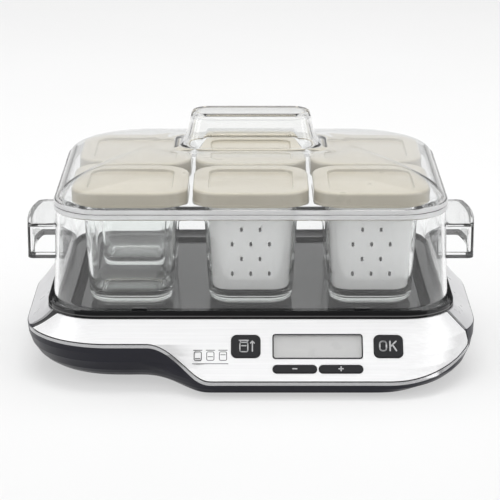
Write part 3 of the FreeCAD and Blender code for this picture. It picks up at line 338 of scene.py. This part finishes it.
def arc_points(x, z, rx, rz, start, end, steps):
    """Points on an ellipse about (x, z), from one angle to another in degrees."""
    angles = [math.radians(start + (end - start) * i / steps) for i in range(steps + 1)]
    return [(x + rx * math.cos(a), z + rz * math.sin(a)) for a in angles]


def add_bar(bm, a, b, wide, low, high):
    """A flat bar with round ends from a to b in the local plane, for printed lines. Millimetres."""
    a, b, steps = Vector(a), Vector(b), 5
    along = (b - a).normalized() if (b - a).length > 1e-6 else Vector((1.0, 0.0))
    start = math.atan2(along.y, along.x)
    outline = []
    for tip, turn in ((b, -90), (a, 90)):
        for i in range(steps + 1):
            t = start + math.radians(turn + 180 * i / steps)
            outline.append((tip.x + wide / 2 * math.cos(t), tip.y + wide / 2 * math.sin(t)))
    rings = [[Vector((x, y, z)) * MM for x, y in outline] for z in (low, high)]
    add_skin(bm, rings)


def add_strokes(bm, strokes, wide, low, high, at=(0.0, 0.0)):
    """Printed lines from lists of points."""
    for points in strokes:
        placed = [(at[0] + x, at[1] + y) for x, y in points]
        for a, b in zip(placed, placed[1:]):
            add_bar(bm, a, b, wide, low, high)


# ---------------------------------------------------------------- clear chamber, cover, jars and lids
def span(node):
    """Lowest and highest corner of a CAD node in millimetres."""
    low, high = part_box(node)
    return low / MM, high / MM


def middle(low, high):
    """The middle between two corners, seen from above."""
    return (low.x + high.x) / 2, (low.y + high.y) / 2


def make_jar(row, column):
    """Pressed glass jar: domed underside, round foot, leaning walls, round lip and a bowl-shaped floor."""
    name = "jar_%s_%s" % (row, column)
    low, high = span(name)
    half, z0, z1 = (high.x - low.x) / 2, low.z, high.z
    foot, floor, corner = JAR_FOOT, 4.0, 18.5

    def lean(z):
        return foot * (z1 - z) / (z1 - z0)

    profile = [(foot + 15.0, z0 + 1.5), (foot + 10.0, z0 + 1.2), (foot + 7.2, z0 + 0.5), (foot + 6.2, z0)]
    profile += arc_points(foot + 5.0, z0 + 5.0, 5.0, 5.0, 270, 180, 7)[:-1]
    profile += [(lean(z), z) for z in (z0 + 5.6, z0 + 20, z0 + 40, z1 - 12.0)]
    profile += [(lean(z1 - 9.0), z1 - 9.0), (lean(z1 - 8.4) + 0.35, z1 - 8.4)]
    profile += arc_points(1.6, z1 - 1.2, 1.2, 1.2, 180, 0, 8)
    profile += [(WALL + lean(z), z) for z in (z1 - 3.0, z1 - 20, z0 + 40, z0 + 22)]
    rest = WALL + lean(z0 + floor + 8.0)
    profile += arc_points(rest + 9.0, z0 + floor + 8.0, 9.0, 8.0, 180, 270, 8)
    profile += [(rest + 16.0, z0 + floor + 0.15)]
    bm = bmesh.new()
    add_skin(bm, inset_rings(half, half, corner, profile, middle(low, high), 10))
    finish_mesh(name + "_glass", bm, "jar_glass", name, name)


def make_lid(row, column):
    """Moulded lid: skirt with a finger step, rounded border, sunk middle panel and an inner grip ring."""
    name = "jar_lid_%s_%s" % (row, column)
    low, high = span(name)
    half, z0, z1 = (high.x - low.x) / 2, low.z, high.z
    border, dish, roof, grip, corner = 10.5, 2.0, z1 - 4.2, z1 - 8.6, 19.0
    profile = [(20.0, roof), (6.1, roof), (5.8, roof - 0.3), (5.8, grip + 0.5), (5.3, grip), (4.3, grip),
               (3.8, grip + 0.5), (3.8, roof - 0.3), (3.5, roof), (2.3, roof), (2.0, roof - 0.3),
               (2.0, z0 + 0.7), (1.7, z0 + 0.15), (1.2, z0), (0.6, z0), (0.15, z0 + 0.2), (0.0, z0 + 0.7),
               (0.0, z0 + 2.0), (0.12, z0 + 2.25), (0.3, z0 + 2.4)]
    profile += arc_points(2.1, z1 - 1.8, 1.8, 1.8, 180, 90, 7)
    profile += [(5.0, z1), (border - 1.2, z1 - 0.05)]
    profile += arc_points(border - 0.8, z1 - 0.75, 0.7, 0.7, 90, 10, 5)
    profile += arc_points(border + 1.1, z1 - dish + 0.8, 1.0, 0.8, 190, 270, 5)
    profile += [(border + 4.0, z1 - dish), (border + 14.0, z1 - dish + 0.2)]
    bm = bmesh.new()
    add_skin(bm, inset_rings(half, half, corner, profile, middle(low, high), 12))
    finish_mesh(name + "_cap", bm, "lid_cream", name, name)


def catmull(points, steps):
    """A smooth run through points of any size, with steps between each pair."""
    out = []
    padded = [points[0], *points, points[-1]]
    for a, b, c, d in zip(padded, padded[1:], padded[2:], padded[3:]):
        for i in range(steps):
            t = i / steps
            out.append(tuple(0.5 * (2 * q + (r - p) * t + (2 * p - 5 * q + 4 * r - s) * t * t
                                    + (3 * q - p - 3 * r + s) * t ** 3) for p, q, r, s in zip(a, b, c, d)))
    return out + [points[-1]]


def make_cover():
    """Clear domed cover: bead round its foot, elliptical dome and a hollow waisted knob."""
    low, high = span("cover")
    z0, top, arc, centre = low.z, high.z, 12, middle(low, high)
    bead, corner = 1.3, 31.0
    half, reach = (high.x - low.x) / 2 - bead, (high.y - low.y) / 2 - bead
    dome_z, dome_high, crown = z0 + 1.9, 24.0, 26.0
    flat_half, flat_reach = 39.2, 13.0
    # half width, half depth and drop below the top, up the outside of the knob
    knob = [(54.0, 25.0, 22.28), (50.0, 22.3, 22.1), (47.4, 20.3, 21.5), (45.4, 18.9, 20.3),
            (43.9, 17.7, 18.3), (42.6, 16.6, 15.1), (41.4, 15.5, 10.6), (40.4, 14.5, 6.1), (39.6, 13.5, 2.2)]
    knob = [(a, b, top - drop) for a, b, drop in catmull(knob, 3)]

    def dome(inwards, turn):
        """A ring of the dome: turn degrees up from its foot, inwards from its outer face."""
        angle = math.radians(turn)
        inset = (reach - inwards) * (1 - math.cos(angle))
        bend = corner - inwards + (crown - corner) * inset / reach
        z = dome_z + (dome_high - inwards) * math.sin(angle)
        return rounded_ring(half - inwards - inset, reach - inwards - inset, bend, z, centre, arc)

    def foot_ring(outwards, z):
        return rounded_ring(half + outwards, reach + outwards, corner + outwards, z, centre, arc)

    def knob_ring(a, b, z):
        return rounded_ring(a, b, min(b - 1.2, 11.0), z, centre, arc)

    def roof_ring(inwards, z):
        return knob_ring(flat_half - inwards, flat_reach - inwards, z)

    # inside, from the knob's roof down to the foot
    rings = [roof_ring(WALL + 4.0, top - WALL)]
    rings += [roof_ring(WALL + r, z) for r, z in arc_points(1.6, top - WALL - 1.6, 1.6, 1.6, 90, 180, 5)]
    rings += [knob_ring(a - WALL, b - WALL, z - 1.2) for a, b, z in reversed(knob[4:-1])]
    rings += [knob_ring(a - WALL / 2, b - WALL / 2, z - WALL) for a, b, z in reversed(knob[:3])]
    rings += [dome(WALL, turn) for turn in range(70, 0, -5)]
    rings += [foot_ring(out - WALL, z0 + up)
              for out, up in ((0.0, 1.0), (0.0, 0.5), (0.15, 0.15), (0.5, 0.0))]
    # outside, from the bead up to the knob's top
    rings += [foot_ring(out, z0 + up) for out, up in (
        (bead - 0.5, 0.0), (bead - 0.15, 0.15), (bead, 0.5), (bead, 2.4), (bead - 0.2, 2.85),
        (bead - 0.6, 3.1), (0.25, 3.2), (0.05, 3.35), (-0.12, 3.7))]
    rings += [dome(0.0, turn) for turn in (7, 11, *range(15, 75, 5))]
    rings += [knob_ring(a, b, z) for a, b, z in knob]
    rings += [roof_ring(r - 0.2, z) for r, z in arc_points(2.0, top - 2.0, 2.0, 2.0, 180, 90, 7)]
    rings += [roof_ring(6.0, top - 0.02)]
    bm = bmesh.new()
    add_skin(bm, rings)
    finish_mesh("cover_clear", bm, "clear_plastic", "cover", "cover", sharp=50.0)


def ear_ring(side, cy, inset, root, z, round_front, round_rear):
    """D-shaped outline of one side handle: straight to the chamber, bowed outside. Millimetres."""
    front, rear, steps = -EAR_HALF + inset, EAR_HALF - inset, 6
    front_bow, rear_bow = 2.4, 4.6

    def bow(y):
        """How far out the outer face is at a depth: fullest near the middle, closer in at the rear."""
        t = y / EAR_HALF
        return EAR_REACH - inset - (front_bow if t < 0 else rear_bow) * t * t

    points = [(root, front), (root + 5.0, front)]
    for i in range(steps + 1):
        t = math.pi / 2 * i / steps
        y = front + round_front * (1 - math.cos(t))
        points.append((bow(front + round_front) - round_front * (1 - math.sin(t)), y))
    first, last = front + round_front, rear - round_rear
    points += [(bow(first + (last - first) * i / 10), first + (last - first) * i / 10) for i in range(1, 10)]
    for i in range(steps + 1):
        t = math.pi / 2 * i / steps
        y = rear - round_rear * (1 - math.sin(t))
        points.append((bow(rear - round_rear) - round_rear * (1 - math.cos(t)), y))
    points += [(root + 5.0, rear), (root, rear)]
    placed = [Vector((side * x, y + cy, z)) * MM for x, y in points]
    return placed if side > 0 else list(reversed(placed))


def make_chamber_wall():
    """Clear wall with a bead round its mouth, and two hollow box handles with a thick lower edge."""
    low, high = span("chamber_wall")
    cy, z0, z1 = (low.y + high.y) / 2, low.z, high.z
    half, reach, corner, slope = 128.5, 92.4, 33.0, 2.7

    def lean(z):
        return slope * (z - z0) / (z1 - z0)

    profile = [(0.5, z0), (0.15, z0 + 0.15), (0.0, z0 + 0.5)]
    profile += [(lean(z), z) for z in (z0 + 12, z0 + 30, z0 + 48, z1 - 4.2)]
    profile += [(lean(z1 - 3.6) - 0.15, z1 - 3.6), (2.0, z1 - 3.15), (1.6, z1 - 2.9), (1.4, z1 - 2.5),
                (1.4, z1 - 0.5), (1.55, z1 - 0.15), (1.9, z1), (4.7, z1), (5.0, z1 - 0.15), (5.1, z1 - 0.5)]
    profile += [(WALL + lean(z), z) for z in (z1 - 6, z0 + 48, z0 + 30, z0 + 12)]
    profile += [(WALL, z0 + 0.5), (WALL - 0.15, z0 + 0.15), (WALL - 0.5, z0)]
    bm = bmesh.new()
    add_skin(bm, inset_rings(half, reach, corner, profile, (0.0, cy), 12), loop=True)
    finish_mesh("chamber_clear", bm, "clear_plastic", "chamber_wall", "chamber_wall", sharp=50.0)
    make_ears(cy)


def make_ears(cy):
    """The two side handles: flat top, hollow inside, thick lower edge."""
    # inset, root, height and the two corner radii, from the hollow's roof down and up the outside
    inner = [(4.5, 132.0, EAR_HIGH - WALL, 2.0, 3.0), (WALL + 0.5, 129.9, EAR_HIGH - WALL - 0.1, 2.4, 3.4),
             (WALL, 129.4, EAR_HIGH - WALL - 0.6, 2.6, 3.6), (WALL, 129.4, EAR_LOW + 4.2, 2.6, 3.6),
             (WALL + 1.8, 129.4, EAR_LOW + 3.0, 2.0, 3.0), (WALL + 1.8, 129.4, EAR_LOW + 0.5, 2.0, 3.0),
             (WALL + 1.3, 129.3, EAR_LOW, 2.0, 3.0)]
    outer = [(0.5, 128.2, EAR_LOW, 4.0, 5.5), (0.1, 128.1, EAR_LOW + 0.2, 4.0, 5.6),
             (0.0, 128.1, EAR_LOW + 0.7, 4.0, 5.6), (0.0, 128.1, EAR_HIGH - 1.4, 4.0, 5.6)]
    outer += [(inset, 128.1 + inset * 0.1, z, 4.0, 5.6)
              for inset, z in arc_points(1.3, EAR_HIGH - 1.3, 1.3, 1.3, 165, 90, 5)]
    outer += [(4.0, 130.5, EAR_HIGH, 3.0, 4.5)]
    for side_name, side in SIDES:
        bm = bmesh.new()
        add_skin(bm, [ear_ring(side, cy, *shape) for shape in inner + outer])
        finish_mesh("ear_" + side_name, bm, "clear_plastic", "chamber_wall", sharp=50.0)


def make_seam():
    """Two thin pale grey, partly see-through bands over the thick edges where the cover meets the wall:
    painted reflection of those thick clear edges.
    """
    low, high = span("cover")
    half, reach, corner = (high.x - low.x) / 2, (high.y - low.y) / 2, 32.3
    bands = (("seam_cover", "cover", 110.7, 113.6), ("seam_wall", "chamber_wall", 107.4, 110.2))
    for name, body, z0, z1 in bands:
        profile = [(0.5, z0), (0.1, z0 + 0.1), (-0.02, z0 + 0.4),
                   (-0.02, z1 - 0.4), (0.1, z1 - 0.1), (0.5, z1)]
        bm = bmesh.new()
        add_skin(bm, inset_rings(half, reach, corner, profile, middle(low, high), 12), loop=True)
        band = finish_mesh(name, bm, "clear_plastic", body)
        band.data.materials[0] = SEAM_PAINTED_REFLECTION


def make_ear_edges():
    """The dark look of the thick lower edge of each handle."""
    _, cy = middle(*span("chamber_wall"))
    profile = ((0.4, EAR_LOW + 0.2), (-0.02, EAR_LOW + 0.3), (-0.02, EAR_LOW + 2.5), (0.4, EAR_LOW + 2.6))
    for side_name, side in SIDES:
        rings = [ear_ring(side, cy, inset, 128.4, z, 4.0, 5.6) for inset, z in profile]
        bm = bmesh.new()
        add_skin(bm, rings, loop=True)
        edge = finish_mesh("ear_edge_" + side_name, bm, "clear_plastic", "chamber_wall")
        edge.data.materials[0] = EDGE_SHADE


for row, column in JARS:
    make_jar(row, column)
    make_lid(row, column)
make_cover()
make_chamber_wall()
make_seam()
make_ear_edges()


# ---------------------------------------------------------------- heating tray
def make_tray():
    """Enamelled tray: raised rim, shelf for the chamber, channel round a flat floor, and two catch tabs."""
    low, high = span("heating_tray")
    _, cy = middle(low, high)
    rim, lip, shelf, channel, floor, under = high.z - 0.1, 43.2, 45.5, 41.8, 43.0, 41.0
    # from the underside of the heated floor out to the rim, over it and back in to the middle of the floor
    profile = [(40.0, under), (14.2, under), (13.1, under + 0.2), (12.8, under + 0.8), (12.8, lip + 0.1),
               (1.9, lip + 0.15), (1.7, lip), (0.3, lip), (0.0, lip + 0.3), (0.0, rim - 0.9)]
    profile += arc_points(0.9, rim - 0.9, 0.9, 0.9, 170, 90, 4)
    profile += arc_points(2.0, rim - 0.9, 0.9, 0.9, 90, 10, 4)
    profile += [(2.9, shelf + 0.5), (3.05, shelf + 0.12), (3.4, shelf), (14.0, shelf), (14.6, shelf - 0.12),
                (14.9, shelf - 0.5), (15.1, shelf - 1.2), (15.4, channel + 0.6), (15.8, channel + 0.15),
                (16.6, channel), (20.0, channel), (20.6, channel + 0.15), (21.0, channel + 0.5),
                (21.2, floor - 0.3), (21.5, floor), (22.0, floor + 0.22), (22.9, floor + 0.25),
                (23.4, floor + 0.05), (24.2, floor), (40.0, floor)]
    bm = bmesh.new()
    add_skin(bm, inset_rings(*TRAY_OUTLINE, profile, (0.0, cy), 14))
    tab = [(0.5, shelf - 0.2), (0.1, shelf + 0.2), (0.0, shelf + 1.9)]
    tab += arc_points(0.7, shelf + 1.9, 0.7, 0.7, 170, 90, 4)
    tab_aside, tab_ahead = 71.5, 86.5
    for _, side in SIDES:
        add_skin(bm, inset_rings(5.0, 1.5, 1.2, tab, (side * tab_aside, cy - tab_ahead), 5))
    tray = finish_mesh("tray_enamelled", bm, "tray_enamel", "base", "heating_tray")
    # painted shade: faces in the deep channel and on the rim take the dull black
    tray.data.materials.append(TRAY_PAINTED_SHADE)
    half, reach, _ = TRAY_OUTLINE
    for face in tray.data.polygons:
        x, y, z = face.center / MM
        beyond = max(abs(x) - half, abs(y - cy) - reach)
        in_channel = under + 0.5 < z < floor + 1.9 and beyond > -21.4 and face.normal.z > -0.1
        on_rim = z > lip - 0.05 and beyond > -2.8
        if in_channel or on_rim:
            face.material_index = 1


def make_rim_line():
    """A fine grey line round the foot of the tray's rim."""
    _, cy = middle(*span("heating_tray"))
    profile = [(0.3, 44.5), (0.0, 44.55), (-0.05, 44.7), (-0.05, 45.1), (0.0, 45.25), (0.3, 45.3)]
    bm = bmesh.new()
    add_skin(bm, inset_rings(*TRAY_OUTLINE, profile, (0.0, cy), 14), loop=True)
    line = finish_mesh("rim_line", bm, "black_plastic", "base")
    line.data.materials[0] = RIM_GREY


# ---------------------------------------------------------------- control marks
def panel_height(node):
    """Height of a node's outer face above the sloping panel, in millimetres."""
    turn = PANEL.inverted()
    return max((turn @ v.co).z for v in NODES[node].data.vertices) / MM


def panel_box(node):
    """A node's middle and half size along the sloping panel, in millimetres."""
    turn = PANEL.inverted()
    points = [(turn @ v.co) / MM for v in NODES[node].data.vertices]
    low = [min(p[i] for p in points) for i in range(2)]
    high = [max(p[i] for p in points) for i in range(2)]
    return [(a + b) / 2 for a, b in zip(low, high)], [(b - a) / 2 for a, b in zip(low, high)]


def round_loop(half_x, half_y, corner, at=(0.0, 0.0), steps=5):
    """Points round a rounded rectangle, closed on itself, for a printed line."""
    points = [(p.x / MM, p.y / MM) for p in rounded_ring(half_x, half_y, corner, 0.0, at, steps)]
    return points + points[:1]


def make_marks():
    """The pictogram, the letters and the signs on the four keys."""
    jar = [round_loop(2.5, 3.2, 1.0, (-1.2, -0.7)), [(-4.1, 3.9), (1.7, 3.9)], [(-3.3, 3.2), (-3.9, 3.9)],
           [(0.9, 3.2), (1.5, 3.9)], [(-2.6, 0.2), (0.2, 0.2)], [(4.2, -3.6), (4.2, 3.4)],
           [(3.0, 2.0), (4.2, 3.4), (5.4, 2.0)]]
    letters = [round_loop(2.1, 3.2, 1.7, (-3.4, 0.0)), [(1.0, -3.2), (1.0, 3.2)], [(4.8, 3.2), (1.4, -0.2)],
               [(2.5, 0.9), (5.0, -3.2)]]
    dash, stem = [(-1.3, 0.0), (1.3, 0.0)], [(0.0, -1.3), (0.0, 1.3)]
    marks = (("program", jar, 0.75), ("ok", letters, 0.95), ("minus", [dash], 0.8),
             ("plus", [dash, stem], 0.8))
    for key, strokes, wide in marks:
        node = "button_" + key
        at, _ = panel_box(node)
        face = panel_height(node)
        bm = bmesh.new()
        add_strokes(bm, strokes, wide, face - PRINT_SINK, face + PRINT_PROUD, at)
        finish_mesh("mark_" + key, bm, "silver_plastic", node, turn=PANEL)


def make_window():
    """A dark line round the display window: painted shade of the window's recessed edge."""
    at, half = panel_box("display_lens")
    face, corner = panel_height("display_lens"), 2.0
    profile = ((0.0, face), (0.05, face + 0.06), (0.7, face + 0.06), (0.75, face - 0.05), (0.1, face - 0.05))
    rings = [rounded_ring(half[0] - inset, half[1] - inset, corner - min(inset, 0.6), z, at, 6)
             for inset, z in profile]
    bm = bmesh.new()
    add_skin(bm, rings, loop=True)
    finish_mesh("window_painted_shade", bm, "key_dark", "base", turn=PANEL)


def make_icons():
    """Three small jar outlines printed on the panel, with lines for how full each is."""
    pitch, first_x, middle_y, lid_y, line_y = 8.0, -33.6, -25.2, -21.2, -30.4
    strokes = []
    for index, level in enumerate((-1.6, -0.4, 0.9)):
        x = first_x + index * pitch
        strokes += [round_loop(2.3, 2.9, 0.9, (x, middle_y), 4), [(x - 2.7, lid_y), (x + 2.7, lid_y)],
                    [(x - 1.5, middle_y + level), (x + 1.5, middle_y + level)]]
    strokes += [[(-37.0, line_y), (-14.4, line_y)]]
    bm = bmesh.new()
    add_strokes(bm, strokes, 0.42, -0.03, PRINT_PROUD)
    finish_mesh("panel_icons", bm, "key_dark", "base", turn=PANEL)


make_tray()
make_rim_line()
make_marks()
make_window()
make_icons()


# ---------------------------------------------------------------- floor, light and camera
def make_floor():
    """A pale floor that curves up far behind the object. It throws back less light than it shows."""
    s = Shader("floor_pale")
    cloud = s.noise(3.0, 3.0)
    pale = s.blend(s.ramp(cloud, 0.3, 0.7, 0.0, 1.0), colour(0.3, 0.3, 0.3), colour(0.31, 0.31, 0.31))
    bounce = s.node("LightPath").outputs["Is Diffuse Ray"]
    tint = s.blend(bounce, pale, colour(0.5, 0.5, 0.5))
    glow = s.blend(bounce, colour(0.52, 0.52, 0.52), colour(0.0, 0.0, 0.0))
    material = s.finish(s.principled(Base_Color=tint, Roughness=0.7, Specular_IOR_Level=0.0,
                                     Emission_Color=glow, Emission_Strength=1.0))
    bm = bmesh.new()
    half, front, back, bend, steps = 6.0, -3.0, 2.6, 1.6, 16
    profile = [(front, 0.0), (back, 0.0)]
    for i in range(1, steps + 1):
        angle = math.pi / 2 * i / steps
        profile.append((back + bend * math.sin(angle), bend * (1 - math.cos(angle))))
    profile.append((back + bend, 5.0))
    rows = [[bm.verts.new((x, y, z)) for x in (-half, half)] for y, z in profile]
    for (a, b), (c, d) in zip(rows, rows[1:]):
        bm.faces.new((a, b, d, c))
    mesh = bpy.data.meshes.new("floor")
    bm.to_mesh(mesh)
    for face in mesh.polygons:
        face.use_smooth = True
    floor = bpy.data.objects.new("floor", mesh)
    bpy.context.scene.collection.objects.link(floor)
    mesh.materials.append(material)


def make_light(name, place, aim, wide, high, power):
    """A soft rectangular lamp that looks at a point."""
    data = bpy.data.lights.new(name, "AREA")
    data.shape = "RECTANGLE"
    data.size, data.size_y, data.energy = wide, high, power
    lamp = bpy.data.objects.new(name, data)
    lamp.location = place
    lamp.rotation_euler = (Vector(aim) - Vector(place)).to_track_quat("-Z", "Y").to_euler()
    bpy.context.scene.collection.objects.link(lamp)
    return lamp


def make_studio():
    """A bright sky overhead over a grey horizon, a key lamp above and behind, and two slim side lamps."""
    key = make_light("lamp_top", (0.0, 0.45, 1.5), (0.0, 0.0, 0.0), 1.4, 0.9, 19.0)
    key.visible_glossy = False
    key.visible_transmission = False
    make_light("lamp_left", (-1.5, -0.4, 0.7), (0.0, 0.0, 0.06), 0.35, 1.2, 3.5)
    make_light("lamp_right", (1.5, -0.4, 0.7), (0.0, 0.0, 0.06), 0.35, 1.2, 3.0)
    world = bpy.data.worlds.new("studio")
    bpy.context.scene.world = world
    world.use_nodes = True
    tree = world.node_tree
    tree.nodes.clear()
    coords = tree.nodes.new("ShaderNodeTexCoord")
    split = tree.nodes.new("ShaderNodeSeparateXYZ")
    sky = tree.nodes.new("ShaderNodeMapRange")
    back = tree.nodes.new("ShaderNodeBackground")
    out = tree.nodes.new("ShaderNodeOutputWorld")
    tree.links.new(coords.outputs["Generated"], split.inputs[0])
    tree.links.new(split.outputs[2], sky.inputs["Value"])
    for limit, value in (("From Min", 0.1), ("From Max", 0.7), ("To Min", 0.3), ("To Max", 1.05)):
        sky.inputs[limit].default_value = value
    back.inputs["Color"].default_value = (1.0, 1.0, 1.0, 1.0)
    tree.links.new(sky.outputs[0], back.inputs["Strength"])
    tree.links.new(back.outputs[0], out.inputs["Surface"])


def make_camera():
    """A long lens 16.9 degrees above the level, aimed at the middle of the object."""
    pitch, away, target = math.radians(16.9), 1.4468, Vector((-0.0005, 0.005, 0.060))
    data = bpy.data.cameras.new("camera")
    data.sensor_width, data.lens = 36.0, 153.4
    data.clip_start, data.clip_end = 0.05, 50.0
    camera = bpy.data.objects.new("camera", data)
    camera.location = target + away * Vector((0.0, -math.cos(pitch), math.sin(pitch)))
    camera.rotation_euler = (math.pi / 2 - pitch, 0.0, 0.0)
    bpy.context.scene.collection.objects.link(camera)
    bpy.context.scene.camera = camera


make_floor()
make_studio()
make_camera()
scene = bpy.context.scene
scene.view_settings.view_transform = "Standard"
scene.cycles.max_bounces = 24
scene.cycles.transmission_bounces = 24
scene.cycles.transparent_max_bounces = 32
scene.cycles.glossy_bounces = 8
scene.cycles.diffuse_bounces = 4
